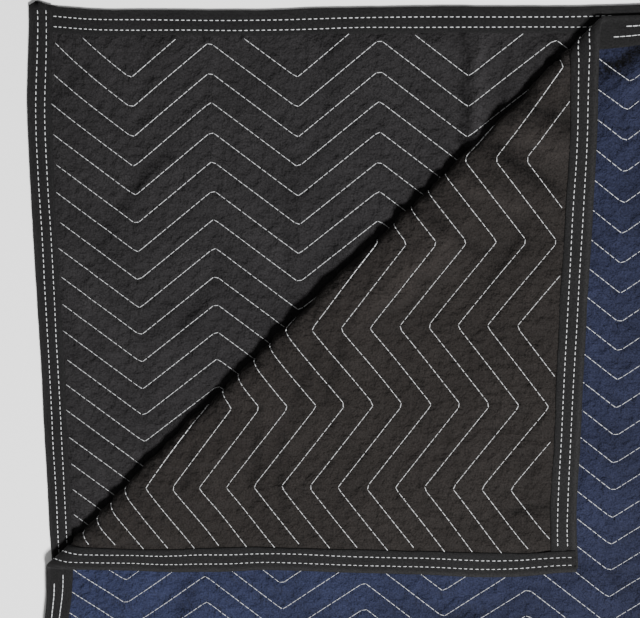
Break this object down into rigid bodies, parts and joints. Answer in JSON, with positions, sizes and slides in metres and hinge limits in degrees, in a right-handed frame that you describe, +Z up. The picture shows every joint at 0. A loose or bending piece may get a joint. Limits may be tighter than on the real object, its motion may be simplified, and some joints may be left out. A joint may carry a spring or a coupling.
{
  "type": "quilted moving blanket",
  "caption": "Double-faced quilted furniture pad, black and navy, folded in half with its upper corner turned back along a diagonal.",
  "frame": {"origin": "middle of the box's underside, on the floor that the blanket lies on", "axes": "+X to the half fold at the right, +Y towards the side with the turned-back corner, +Z up"},
  "size_m": [1.0256, 1.8444, 0.0514],
  "materials": {
    "black_cloth": "matte woven cloth, zigzag quilted",
    "navy_cloth": "matte woven cloth, zigzag quilted",
    "edge_strip": "matte woven edge strip",
    "thread": "pale sewing thread"
  },
  "bodies": {
    "root": {"face_black": "black_cloth", "face_blue": "navy_cloth", "binding_left": "edge_strip", "binding_right": "edge_strip", "binding_top": "edge_strip", "binding_bottom": "edge_strip"}
  },
  "joints": []
}
